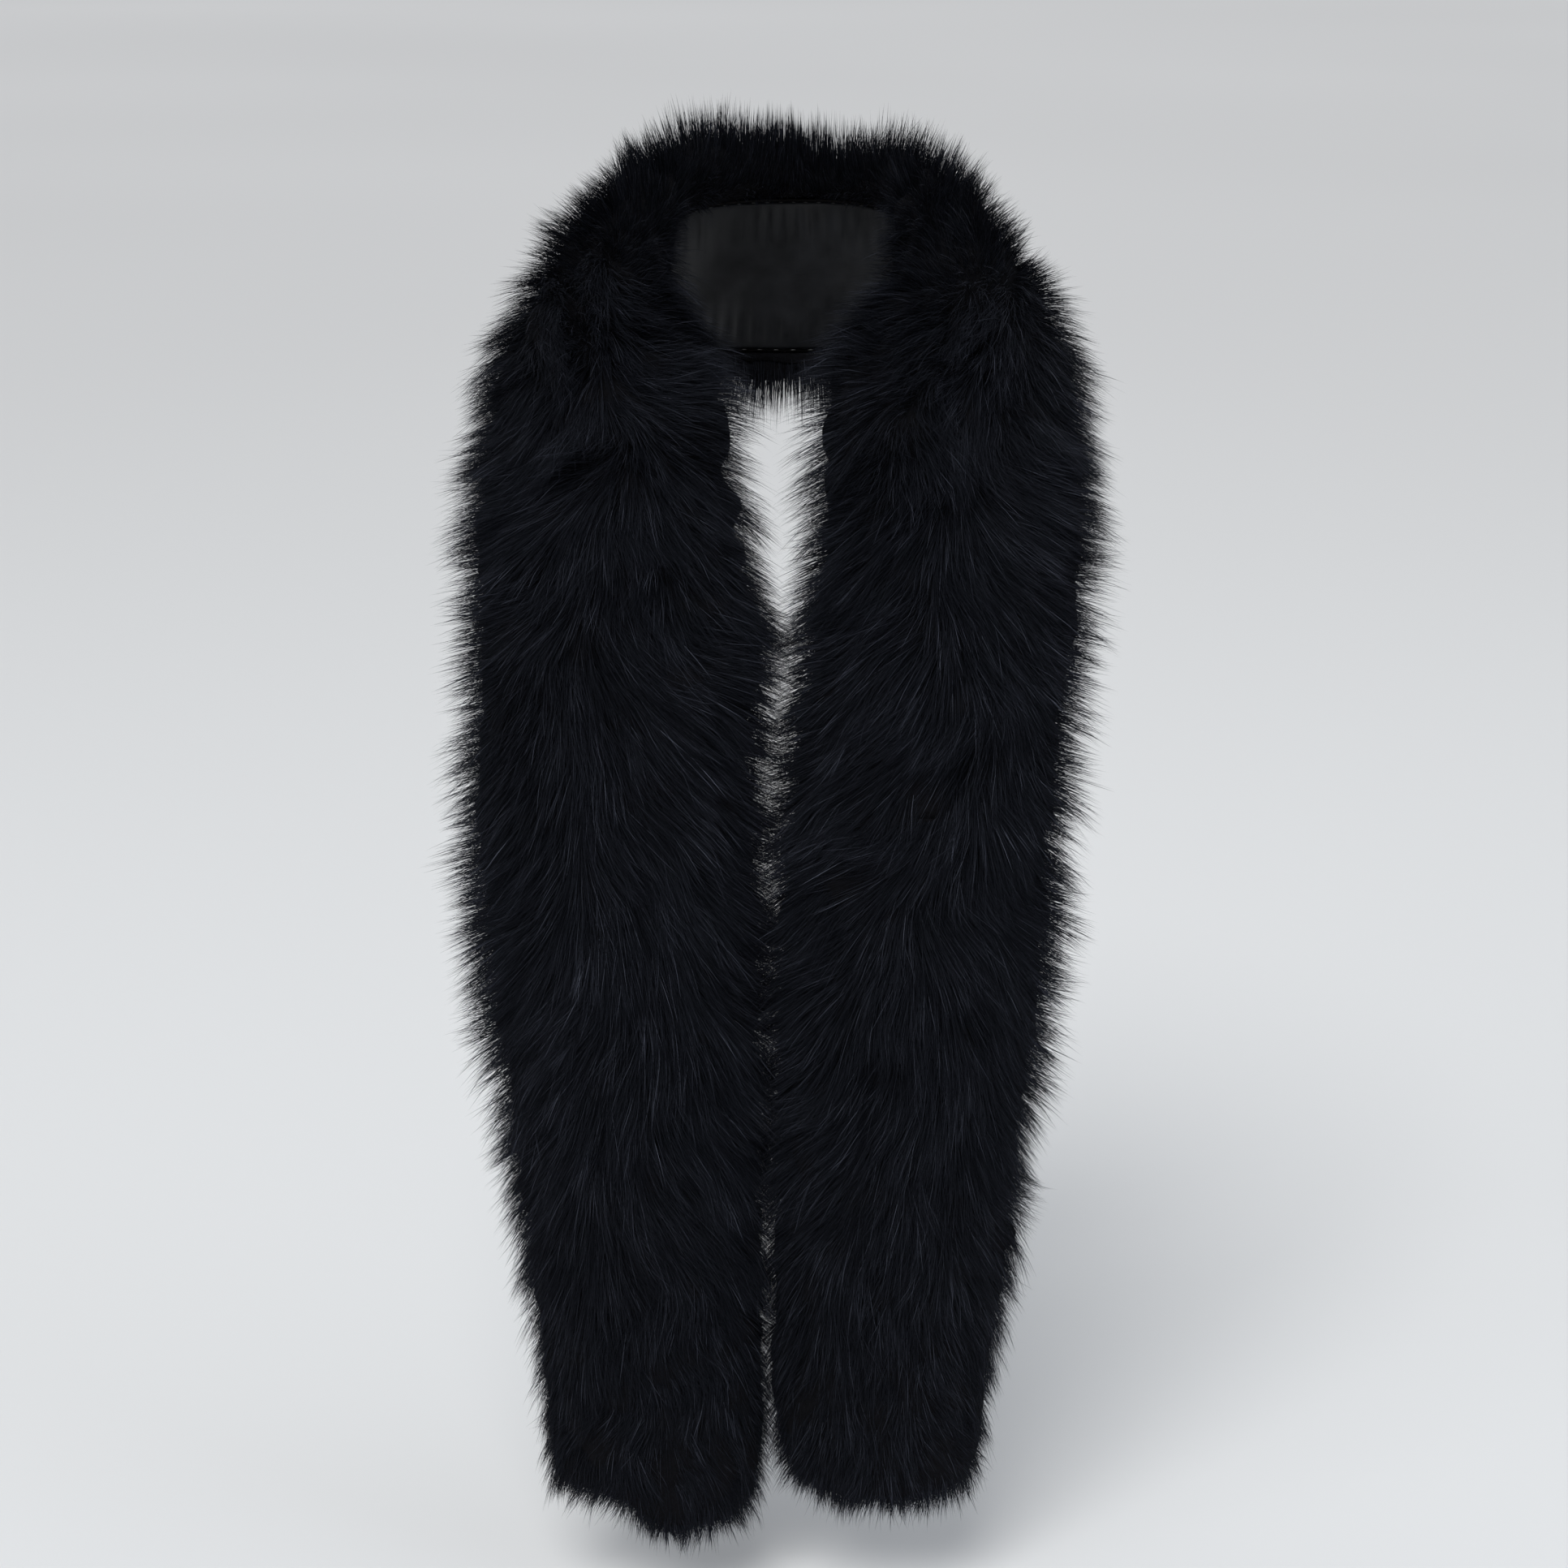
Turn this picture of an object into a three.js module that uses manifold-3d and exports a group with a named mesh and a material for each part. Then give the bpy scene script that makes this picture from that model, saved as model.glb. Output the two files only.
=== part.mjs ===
// A long-haired black fur boa, hung round a neck with both ends down the chest.
// Millimetres, +Z up, +X to the viewer's right, -Y towards the viewer.
// The origin is on the axis of the neck, level with the neck's top.
//
// The boa is designed flat, as a furrier lays it out, and then hung: a flat piece has x across the boa,
// from the edge next to the neck to the outer edge, y from the lining up into the fur, and z along the boa
// from the centre of the nape, less than zero on the left and more than zero on the right.
import * as THREE from "three";
import { mergeVertices } from "three/addons/utils/BufferGeometryUtils.js";
import Module from "manifold-3d";

const wasm = await Module();
wasm.setup();

// Driving dimensions of the hang.
const NECK_RADIUS = 57; // of the neck or stand that the boa goes round
const NECK_EASE = 13; // from that neck to the lining at the nape
const NECK_DEPTH = 130; // how far down the neck presses the fur back
const LEFT_DROP = 656; // from the neck's top down to the end of the left skin
const RIGHT_DROP = 640;
const CHEST_GAP = 11; // from the middle of the hang to the fur of each side, at the chest
const FALL_GAPS = [6.8, 2.4, 2, 0.5]; // the same at each quarter of the fall from there to the end
const CHEST_DEPTH = 98; // how far the lining hangs in front of the neck's axis
const HANG_SHIFT = -15; // the ends hang this much off centre

// Driving dimensions of the strip.
const HALF_WIDTH = 44; // of the skins, edge to middle
const CROWN = 16; // height of the skins over the lining
const SKIN = 1.4;
const LINING = 1;
const LINING_INSET = 4; // from the skin's edge to the lining's hem
const TAPE_WIDTH = 10;
const TAPE = 0.6;
const TAPE_REACH = 108; // to each side of the nape
const PILE_SIDE = 33; // fur past each edge
const PILE_FRONT = 33; // fur in front of the skins
const PILE_BACK = 12; // fur that wraps behind each edge
const PILE_TIP = 17; // fur past each end
const END_PILE_SHARE = 0.5; // the fur is this much shorter at the ends
const END_PILE_STRETCH = 300; // over this length
const ROUNDING = 42; // length over which an end narrows
const END_WIDTH_SHARE = 0.62; // width left at the very end
const FUR_REACH = HALF_WIDTH + PILE_SIDE;
const CHEST_SPREAD = FUR_REACH + CHEST_GAP; // from the middle of the hang to the middle of a side
const END_SPREAD = HALF_WIDTH + END_PILE_SHARE * PILE_SIDE + FALL_GAPS.at(-1);

// The hinges, where the strip bends most freely. Each is a round joint face about its own axis, and its
// pivot is just inside the middle of the weight below it, so that each side hangs at rest on its stop.
const UPPER_HINGE_DROP = 262;
const UPPER_HINGE_OUT = CHEST_SPREAD - 13; // sideways from the hang's centre
const UPPER_HINGE_SHIFT = -12; // the hang's centre at that height
const HINGE_PAST_FUR = 5; // reach of a joint face past the fur, so that it cuts all the way through
const UPPER_HINGE_RADIUS = FUR_REACH + CHEST_SPREAD - UPPER_HINGE_OUT + HINGE_PAST_FUR;
const LOWER_HINGE_DROP = 430;
const LOWER_HINGE_FORWARD = 13; // in front of the lining
const LOWER_HINGE_RADIUS = CROWN + PILE_FRONT - LOWER_HINGE_FORWARD + HINGE_PAST_FUR;
const HINGE_CLEARANCE = 0.7;

const GAP = 0.4; // between pieces that touch
const STEP = 27; // one ring of every piece is at each multiple of this along the boa
const THINNEST_STEP = 1; // no ring is closer than this to a piece's end
const FAR = 400; // longer than anything that a cutter has to pass through
const ROUND_SIDES = 64; // of the joint faces and the neck
const LINE_DIVISIONS = 2000; // that the line's length is measured in
const HALVINGS = 40; // of the search for a height along the line

// The fur's length as a share of its full length, at a distance from the end of the skins.
function pileShare(fromEnd) {
  const grown = THREE.MathUtils.smoothstep(fromEnd, 0, END_PILE_STRETCH);
  return THREE.MathUtils.lerp(END_PILE_SHARE, 1, grown);
}

// One side of the line that the middle of the lining hangs along, from the nape to past the end, and
// for each point the way across the strip to its outer edge. Below the chest the two sides hang a gap
// apart, whatever the fur's reach.
const RING = NECK_RADIUS + NECK_EASE;
const PAST_END = PILE_TIP + 20;
function hangingSide(side, drop) {
  const bend = [
    { at: [0.93 * RING, 0.72 * RING, -33], shift: 0.1, across: [0.35, 0.25, -0.9] },
    { at: [1.4 * RING, 0.08 * RING, -56], shift: 0.3, across: [0.68, 0.1, -0.72] },
    { at: [CHEST_SPREAD + 5, -0.44 * CHEST_DEPTH, -108], shift: 0.5, across: [0.88, 0, -0.42] },
    { at: [CHEST_SPREAD + 4, -0.78 * CHEST_DEPTH, -168], shift: 0.5, across: [0.97, 0, -0.18] },
    { at: [CHEST_SPREAD, -0.96 * CHEST_DEPTH, -235], shift: 0.5, across: [1, 0, 0] },
  ];
  const chestDrop = -bend.at(-1).at[2];
  const fallTo = drop + PAST_END - chestDrop;
  const fall = FALL_GAPS.map((gap, i) => {
    const part = (i + 1) / FALL_GAPS.length;
    const down = chestDrop + fallTo * part;
    const reach = HALF_WIDTH + PILE_SIDE * pileShare(drop - down);
    return {
      at: [reach + gap, -CHEST_DEPTH, -down],
      shift: 0.5 + 0.5 * Math.min(2 * part, 1),
      across: [1, 0, 0],
    };
  });
  return [...bend, ...fall].map(({ at, shift, across }) => ({
    at: new THREE.Vector3(side * at[0] + shift * HANG_SHIFT, at[1], at[2]),
    across: new THREE.Vector3(side * across[0], across[1], across[2]),
  }));
}
const nape = { at: new THREE.Vector3(0, RING, -30), across: new THREE.Vector3(0, 0.25, -1) };
const leftSide = hangingSide(-1, LEFT_DROP);
const line = [...leftSide.toReversed(), nape, ...hangingSide(1, RIGHT_DROP)];
const centreLine = new THREE.CatmullRomCurve3(line.map((point) => point.at));
const acrossLine = new THREE.CatmullRomCurve3(line.map((point) => point.across));
centreLine.arcLengthDivisions = LINE_DIVISIONS;
const LINE_LENGTH = centreLine.getLength();
const NAPE_AT = LINE_LENGTH * shareOf(leftSide.length / (line.length - 1));
const LEFT_END = -NAPE_AT + PAST_END;
const RIGHT_END = LINE_LENGTH - NAPE_AT - PAST_END;

// The share of the line's length that lies before a curve parameter.
function shareOf(parameter) {
  const lengths = centreLine.getLengths();
  return lengths[Math.round(parameter * (lengths.length - 1))] / lengths.at(-1);
}

// The place on the line at a length along the boa, and the ways across it and into the fur.
function frameAt(along) {
  const share = THREE.MathUtils.clamp((along + NAPE_AT) / LINE_LENGTH, 0, 1);
  const tangent = centreLine.getTangentAt(share);
  const across = acrossLine.getPoint(centreLine.getUtoTmapping(share));
  across.addScaledVector(tangent, -across.dot(tangent)).normalize();
  return { centre: centreLine.getPointAt(share), across, up: tangent.cross(across) };
}

// The length along the boa at which one side has fallen to a height. Each side only ever falls.
function alongAt(side, height) {
  let near = 0;
  let far = side < 0 ? -NAPE_AT : LINE_LENGTH - NAPE_AT;
  for (let i = 0; i < HALVINGS; i++) {
    const middle = (near + far) / 2;
    if (frameAt(middle).centre.z > height) near = middle;
    else far = middle;
  }
  return near;
}

// How far a place is from the end on its own side, less than zero past the end of the skins.
const toEnd = (along) => Math.min(along - LEFT_END, RIGHT_END - along);

// The strip's width near an end, as a share of its full width.
function narrowing(along) {
  const into = THREE.MathUtils.clamp((ROUNDING - toEnd(along)) / (ROUNDING + PILE_TIP), 0, 1);
  return END_WIDTH_SHARE + (1 - END_WIDTH_SHARE) * Math.sqrt(1 - into ** 2);
}

// Shortens the fur towards the ends and leaves the skin's own outline as it is.
function shorten(x, y, along) {
  const share = pileShare(toEnd(along));
  const edge = HALF_WIDTH + GAP;
  if (y < 0) {
    const past = Math.max(Math.abs(x) - edge, 0);
    return [Math.sign(x) * (Math.min(Math.abs(x), edge) + past * share), y < -LINING ? y * share : y];
  }
  const reach = Math.hypot(x, y);
  const skin = reach / Math.max(Math.hypot(x / edge, y / (CROWN + GAP)), 1e-9);
  if (reach <= skin) return [x, y];
  const shortened = (skin + (reach - skin) * share) / reach;
  return [x * shortened, y * shortened];
}

// Extrudes an outline along the boa and hangs it. Every piece has its rings at the same places, so
// pieces that lie on each other stay the same distance apart round the bends.
function hang(outline, from, to) {
  const rings = [from];
  for (let ring = Math.floor(from / STEP) + 1; ring * STEP < to - THINNEST_STEP; ring++) {
    if (ring * STEP > from + THINNEST_STEP) rings.push(ring * STEP);
  }
  rings.push(to);
  const steps = rings.length - 1;
  const geometry = new THREE.ExtrudeGeometry(outline, { depth: steps, steps, bevelEnabled: false });
  const position = geometry.getAttribute("position");
  for (let i = 0; i < position.count; i++) {
    const along = rings[Math.round(position.getZ(i))];
    const { centre, across, up } = frameAt(along);
    const [x, y] = shorten(position.getX(i), position.getY(i), along);
    centre.addScaledVector(across, x * narrowing(along)).addScaledVector(up, y);
    position.setXYZ(i, centre.x, centre.y, centre.z);
  }
  return solidOf(geometry);
}

// A closed three.js geometry as a manifold-3d solid, and back.
function solidOf(geometry) {
  geometry.deleteAttribute("normal");
  geometry.deleteAttribute("uv");
  const merged = mergeVertices(geometry, 1e-3);
  return new wasm.Manifold(
    new wasm.Mesh({
      numProp: 3,
      vertProperties: merged.getAttribute("position").array,
      triVerts: new Uint32Array(merged.index.array),
    }),
  );
}
function geometryOf(solid) {
  const { vertProperties, triVerts } = solid.getMesh();
  const geometry = new THREE.BufferGeometry();
  geometry.setAttribute("position", new THREE.BufferAttribute(vertProperties, 3));
  geometry.setIndex(new THREE.BufferAttribute(triVerts, 1));
  geometry.computeVertexNormals();
  return geometry;
}

// Outlines across the flat boa. Layers that lie on each other share the same facets, because each is
// what is under its top surface less what is under the next one's.
const SKIN_PARTS = 6; // facets over the skin, and over everything that lies against it
const FUR_PARTS = 8;
const WRAP_PARTS = 2;
const TIP_SLICES = 4;
const PAST_CUT = 0.1; // how far a cutting solid runs past the piece that it cuts
const DEEP = 20; // how far the solids under a surface reach down
const archPoints = (halfWidth, height, parts) =>
  new THREE.EllipseCurve(0, 0, halfWidth, height, 0, Math.PI).getPoints(parts);
const wrapPoints = (middle, halfWidth, depth) =>
  new THREE.EllipseCurve(middle, 0, halfWidth, depth, Math.PI, 2 * Math.PI).getPoints(WRAP_PARTS);
const HEM = HALF_WIDTH - LINING_INSET;
const LEVEL_PLACES = [1.5 * HEM, HEM, HEM - TAPE_WIDTH, 0, TAPE_WIDTH - HEM, -HEM, -1.5 * HEM];
const levelPoints = (left, right, y) =>
  LEVEL_PLACES.filter((x) => x >= left && x <= right).map((x) => new THREE.Vector2(x, y));
function closed(...runs) {
  const points = runs.flat();
  return new THREE.Shape(points.filter((point, i) => i === 0 || !point.equals(points[i - 1])));
}

const underArch = (halfWidth, height, depth) =>
  closed(
    archPoints(halfWidth, height, SKIN_PARTS),
    archPoints(halfWidth, 0, SKIN_PARTS).reverse().map(({ x }) => new THREE.Vector2(x, -depth)),
  );
const underLevel = (y, left = -2 * HEM, right = 2 * HEM) =>
  closed(levelPoints(left, right, y), levelPoints(left, right, y - DEEP).reverse());
const FUR_ROOT = HALF_WIDTH + GAP;
const furOutline = closed(
  archPoints(FUR_REACH, CROWN + PILE_FRONT, FUR_PARTS),
  wrapPoints(-(FUR_REACH + FUR_ROOT) / 2, (FUR_REACH - FUR_ROOT) / 2, PILE_BACK),
  wrapPoints((FUR_REACH + FUR_ROOT) / 2, (FUR_REACH - FUR_ROOT) / 2, PILE_BACK).slice(0, -1),
);
const furTipOutline = closed(
  archPoints(FUR_REACH, CROWN + PILE_FRONT, FUR_PARTS),
  archPoints(FUR_REACH, -PILE_BACK, FUR_PARTS).reverse().slice(1, -1),
);

const WADDING_BASE = TAPE + 2 * GAP;
function hangFur(from, to) {
  const past = 2 * GAP;
  const atLeft = from === LEFT_END;
  const atRight = to === RIGHT_END;
  const fur = hang(furOutline, atLeft ? from - past : from, atRight ? to + past : to);
  const skinRoom = hang(underArch(FUR_ROOT, CROWN + GAP, DEEP), from - PAST_CUT, to + PAST_CUT);
  const sides = fur.subtract(skinRoom);
  if (atLeft) return sides.add(furTip(-1));
  return atRight ? sides.add(furTip(1)) : sides;
}

// The fur that closes an end, past the end of the skin.
function furTip(side) {
  const start = side < 0 ? LEFT_END : RIGHT_END;
  let tip = null;
  for (let slice = 0; slice < TIP_SLICES; slice++) {
    const near = start + side * (GAP + ((PILE_TIP - GAP) * slice) / TIP_SLICES);
    const far = start + side * (GAP + ((PILE_TIP - GAP) * (slice + 1)) / TIP_SLICES);
    const made = hang(furTipOutline, Math.min(near, far), Math.max(near, far));
    tip = tip ? tip.add(made) : made;
  }
  return tip;
}
function hangSkin(from, to) {
  const under = underArch(HALF_WIDTH - SKIN, CROWN - SKIN, DEEP);
  const inside = hang(under, from - PAST_CUT, to + PAST_CUT);
  return hang(underArch(HALF_WIDTH, CROWN, 0), from, to).subtract(inside);
}
function hangWadding(from, to) {
  const inset = SKIN + GAP;
  const filling = hang(underArch(HALF_WIDTH - inset, CROWN - inset, WADDING_BASE), from, to);
  return filling.subtract(hang(underLevel(WADDING_BASE), from - PAST_CUT, to + PAST_CUT));
}
function hangBand(left, right, low, high, from, to) {
  const below = hang(underLevel(low), from - PAST_CUT, to + PAST_CUT);
  return hang(underLevel(high, left, right), from, to).subtract(below);
}

// A hinge's pivot and the reach of its round joint face. An upper hinge swings a side outwards, about
// Y, and a lower hinge lifts an end forwards, about X.
const upperHinge = (side) => ({
  pivot: new THREE.Vector3(side * UPPER_HINGE_OUT + UPPER_HINGE_SHIFT, -CHEST_DEPTH, -UPPER_HINGE_DROP),
  radius: UPPER_HINGE_RADIUS,
  turn: new THREE.Euler(0, 0, 0),
});
const lowerHinge = (side) => ({
  pivot: new THREE.Vector3(
    side * END_SPREAD + HANG_SHIFT,
    -CHEST_DEPTH - LOWER_HINGE_FORWARD,
    -LOWER_HINGE_DROP,
  ),
  radius: LOWER_HINGE_RADIUS,
  turn: new THREE.Euler(0, 0, Math.PI / 2),
});

// All that is beyond a hinge: inside its round face, or lower than its pivot.
function beyond({ pivot, radius, turn }, extra = 0) {
  const round = new THREE.CylinderGeometry(radius + extra, radius + extra, FAR, ROUND_SIDES);
  round.applyMatrix4(new THREE.Matrix4().makeRotationFromEuler(turn));
  round.translate(pivot.x, pivot.y, pivot.z);
  const below = new THREE.BoxGeometry(2 * FAR, 2 * FAR, 2 * FAR);
  below.translate(pivot.x, pivot.y, pivot.z - FAR);
  return solidOf(round).add(solidOf(below));
}

// The neck, which presses the collar's fur back.
function neckSpace() {
  const neck = new THREE.CylinderGeometry(NECK_RADIUS, NECK_RADIUS, 2 * NECK_DEPTH, ROUND_SIDES);
  return solidOf(neck.rotateX(Math.PI / 2));
}

const materials = {
  fur: new THREE.MeshStandardMaterial({ color: 0x121217, roughness: 0.75, metalness: 0 }),
  skin: new THREE.MeshStandardMaterial({ color: 0x2a2622, roughness: 0.85, metalness: 0 }),
  wadding: new THREE.MeshStandardMaterial({ color: 0xb9b7b0, roughness: 0.95, metalness: 0 }),
  lining: new THREE.MeshStandardMaterial({ color: 0x1d1d22, roughness: 0.35, metalness: 0 }),
  tape: new THREE.MeshStandardMaterial({ color: 0x1a1a1c, roughness: 0.8, metalness: 0 }),
};

// A part of the boa that moves as one: its place along the boa, the hinge that it hangs from and the
// hinge that it carries. Its pieces are trimmed to the round faces of those hinges.
function limb({ name, from, to, hungFrom, carries = [], sections, group, origin }) {
  const trim = (solid) => {
    let trimmed = solid;
    if (hungFrom) trimmed = trimmed.intersect(beyond(hungFrom));
    for (const hinge of carries) trimmed = trimmed.subtract(beyond(hinge, HINGE_CLEARANCE));
    return trimmed;
  };
  const addPiece = (piece, solid, material) => {
    const geometry = geometryOf(trim(solid)).translate(-origin.x, -origin.y, -origin.z);
    const mesh = new THREE.Mesh(geometry, material);
    mesh.name = piece;
    group.add(mesh);
  };
  for (const { place, start, end } of sections) {
    const low = Math.max(start + GAP / 2, from);
    const high = Math.min(end - GAP / 2, to);
    addPiece("hide_" + place, hangSkin(low, high), materials.skin);
    const fur = hangFur(low, high);
    addPiece("fur_" + place, hungFrom ? fur : fur.subtract(neckSpace()), materials.fur);
  }
  addPiece("wadding_" + name, hangWadding(from, to), materials.wadding);
  addPiece("lining_" + name, hangBand(-HEM, HEM, -LINING, 0, from, to), materials.lining);
  if (hungFrom) return;
  const tape = hangBand(-HEM, TAPE_WIDTH - HEM, GAP, GAP + TAPE, -TAPE_REACH, TAPE_REACH);
  addPiece("neck_stay_tape", tape, materials.tape);
}

// Where the furrier joined the skins, as lengths along one side.
const NAPE_SECTION = 3 * STEP;
const CHEST_SECTION = 14 * STEP;
const HIP_SECTION = 22 * STEP;

const boa = new THREE.Group();
boa.name = "boa";
const origin = new THREE.Vector3();
const hinges = { left: [upperHinge(-1), lowerHinge(-1)], right: [upperHinge(1), lowerHinge(1)] };
const heightAbove = (hinge) => hinge.pivot.z + hinge.radius + STEP / 2;

limb({
  name: "collar",
  from: alongAt(-1, hinges.left[0].pivot.z),
  to: alongAt(1, hinges.right[0].pivot.z),
  carries: [hinges.left[0], hinges.right[0]],
  sections: [
    { place: "left_shoulder", start: -FAR, end: -NAPE_SECTION },
    { place: "nape", start: -NAPE_SECTION, end: NAPE_SECTION },
    { place: "right_shoulder", start: NAPE_SECTION, end: FAR },
  ],
  group: boa,
  origin,
});

// Sections are given from the nape outwards and turned round for the left side.
function mirrored(side, near, far) {
  return side < 0 ? { start: -far, end: -near } : { start: near, end: far };
}
for (const [hand, side, sideEnd] of [["left", -1, LEFT_END], ["right", 1, RIGHT_END]]) {
  const [upper, lower] = hinges[hand];
  const upperTop = alongAt(side, heightAbove(upper));
  const lowerTop = alongAt(side, heightAbove(lower));
  const upperFoot = alongAt(side, lower.pivot.z);

  const upperGroup = new THREE.Group();
  upperGroup.name = hand + "_upper";
  upperGroup.position.copy(upper.pivot);
  boa.add(upperGroup);
  limb({
    name: hand + "_upper",
    from: Math.min(upperTop, upperFoot),
    to: Math.max(upperTop, upperFoot),
    hungFrom: upper,
    carries: [lower],
    sections: [
      { place: hand + "_chest", ...mirrored(side, 0, CHEST_SECTION) },
      { place: hand + "_waist", ...mirrored(side, CHEST_SECTION, 2 * FAR) },
    ],
    group: upperGroup,
    origin: upper.pivot,
  });

  const lowerGroup = new THREE.Group();
  lowerGroup.name = hand + "_lower";
  lowerGroup.position.copy(lower.pivot).sub(upper.pivot);
  upperGroup.add(lowerGroup);
  limb({
    name: hand + "_lower",
    from: Math.min(lowerTop, sideEnd),
    to: Math.max(lowerTop, sideEnd),
    hungFrom: lower,
    sections: [
      { place: hand + "_hip", ...mirrored(side, 0, HIP_SECTION) },
      { place: hand + "_end", ...mirrored(side, HIP_SECTION, 2 * FAR) },
    ],
    group: lowerGroup,
    origin: lower.pivot,
  });
}

export default boa;
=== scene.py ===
# %% [markdown]
# # A long-haired fur boa
# The boa is a strip of dyed fur skins, about a metre and a half long, sewn end to end round a thin roll
# of wadding and closed along the inside with a satin lining. It hangs round a neck, with both ends down
# the front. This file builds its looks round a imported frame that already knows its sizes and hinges.
#
# A furrier works flat, so this file does too. Each piece is made lying on a bench, with x across the
# strip, y up into the fur and z along the strip, and one function then hangs it on the neck.

# %% Load the frame and keep its size
import math

import bmesh
import bpy
import numpy as np
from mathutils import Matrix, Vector


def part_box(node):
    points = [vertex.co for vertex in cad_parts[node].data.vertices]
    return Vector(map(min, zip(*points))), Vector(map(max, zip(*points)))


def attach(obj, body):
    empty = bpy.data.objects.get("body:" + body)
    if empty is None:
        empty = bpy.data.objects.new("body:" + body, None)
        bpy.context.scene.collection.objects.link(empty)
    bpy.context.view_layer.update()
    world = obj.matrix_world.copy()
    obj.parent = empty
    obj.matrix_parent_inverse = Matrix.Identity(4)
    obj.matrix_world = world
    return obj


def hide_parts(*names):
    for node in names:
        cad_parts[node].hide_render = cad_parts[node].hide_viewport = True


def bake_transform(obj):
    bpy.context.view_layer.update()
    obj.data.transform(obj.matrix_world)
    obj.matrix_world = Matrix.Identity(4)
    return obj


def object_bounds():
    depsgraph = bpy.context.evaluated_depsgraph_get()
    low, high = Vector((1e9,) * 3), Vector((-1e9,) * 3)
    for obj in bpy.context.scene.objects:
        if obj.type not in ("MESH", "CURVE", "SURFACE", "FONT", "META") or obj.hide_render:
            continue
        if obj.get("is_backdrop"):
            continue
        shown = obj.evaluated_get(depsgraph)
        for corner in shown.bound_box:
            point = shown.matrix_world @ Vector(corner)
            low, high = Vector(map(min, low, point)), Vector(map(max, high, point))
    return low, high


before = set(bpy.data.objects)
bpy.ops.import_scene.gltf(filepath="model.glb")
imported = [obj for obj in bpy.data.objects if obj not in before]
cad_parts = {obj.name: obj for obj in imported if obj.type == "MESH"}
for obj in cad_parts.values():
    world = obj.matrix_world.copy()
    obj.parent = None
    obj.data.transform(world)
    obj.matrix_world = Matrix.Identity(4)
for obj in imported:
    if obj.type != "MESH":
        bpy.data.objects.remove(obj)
frame_low, frame_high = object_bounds()
print("frame box", [round(v, 3) for v in (*frame_low, *frame_high)])

# %% [markdown]
# ## The line that the boa hangs along
# The middle of the lining follows one smooth curve: round the back of the neck, over the shoulders and
# straight down the chest. The design gives it as a few points on one side, with the way across the strip
# at each, and mirrors them. A centripetal Catmull-Rom curve goes through every point without looping,
# which is why the design uses it, and the same curve is used here so that each piece lands on its place.

# %% Points of the hanging line, in metres
RING = 0.070  # from the neck's axis to the lining at the nape
HALF_WIDTH = 0.044  # of the skins, edge to middle
PILE = 0.033  # full length that the fur stands over the skins
END_PILE_SHARE = 0.5  # the fur is this much shorter at the ends
END_PILE_STRETCH = 0.300  # over this length
CHEST_SPREAD = HALF_WIDTH + PILE + 0.011
FALL_GAPS = (0.0068, 0.0024, 0.002, 0.0005)  # from the fur of each side to the middle of the hang
CHEST_DEPTH = 0.098
HANG_SHIFT = -0.015
PAST_END = 0.037  # the line goes on this far below the skins
LEFT_DROP = 0.656
RIGHT_DROP = 0.640


def smooth_step(value, low, high):
    t = np.clip((np.asarray(value, float) - low) / (high - low), 0, 1)
    return t * t * (3 - 2 * t)


def pile_share(from_end):
    return END_PILE_SHARE + (1 - END_PILE_SHARE) * smooth_step(from_end, 0, END_PILE_STRETCH)


def hanging_side(side, drop):
    bend = [
        ((0.93 * RING, 0.72 * RING, -0.033), 0.1, (0.35, 0.25, -0.9)),
        ((1.4 * RING, 0.08 * RING, -0.056), 0.3, (0.68, 0.1, -0.72)),
        ((CHEST_SPREAD + 0.005, -0.44 * CHEST_DEPTH, -0.108), 0.5, (0.88, 0, -0.42)),
        ((CHEST_SPREAD + 0.004, -0.78 * CHEST_DEPTH, -0.168), 0.5, (0.97, 0, -0.18)),
        ((CHEST_SPREAD, -0.96 * CHEST_DEPTH, -0.235), 0.5, (1, 0, 0)),
    ]
    chest = bend[-1][0][2]
    fall = []
    for i, gap in enumerate(FALL_GAPS):
        part = (i + 1) / len(FALL_GAPS)
        down = chest - (drop + PAST_END + chest) * part
        out = HALF_WIDTH + PILE * float(pile_share(drop + down)) + gap
        fall.append(((out, -CHEST_DEPTH, down), 0.5 + 0.5 * min(2 * part, 1), (1, 0, 0)))
    points = [(side * at[0] + shift * HANG_SHIFT, at[1], at[2]) for at, shift, _ in bend + fall]
    across = [(side * way[0], way[1], way[2]) for _, _, way in bend + fall]
    return points, across


left_points, left_across = hanging_side(-1, LEFT_DROP)
right_points, right_across = hanging_side(1, RIGHT_DROP)
line_points = np.array(left_points[::-1] + [(0, RING, -0.030)] + right_points)
line_across = np.array(left_across[::-1] + [(0, 0.25, -1)] + right_across)
print("hanging line:", len(line_points), "points")


# %% The curve through those points
SAMPLES_PER_POINT = 220


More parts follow.
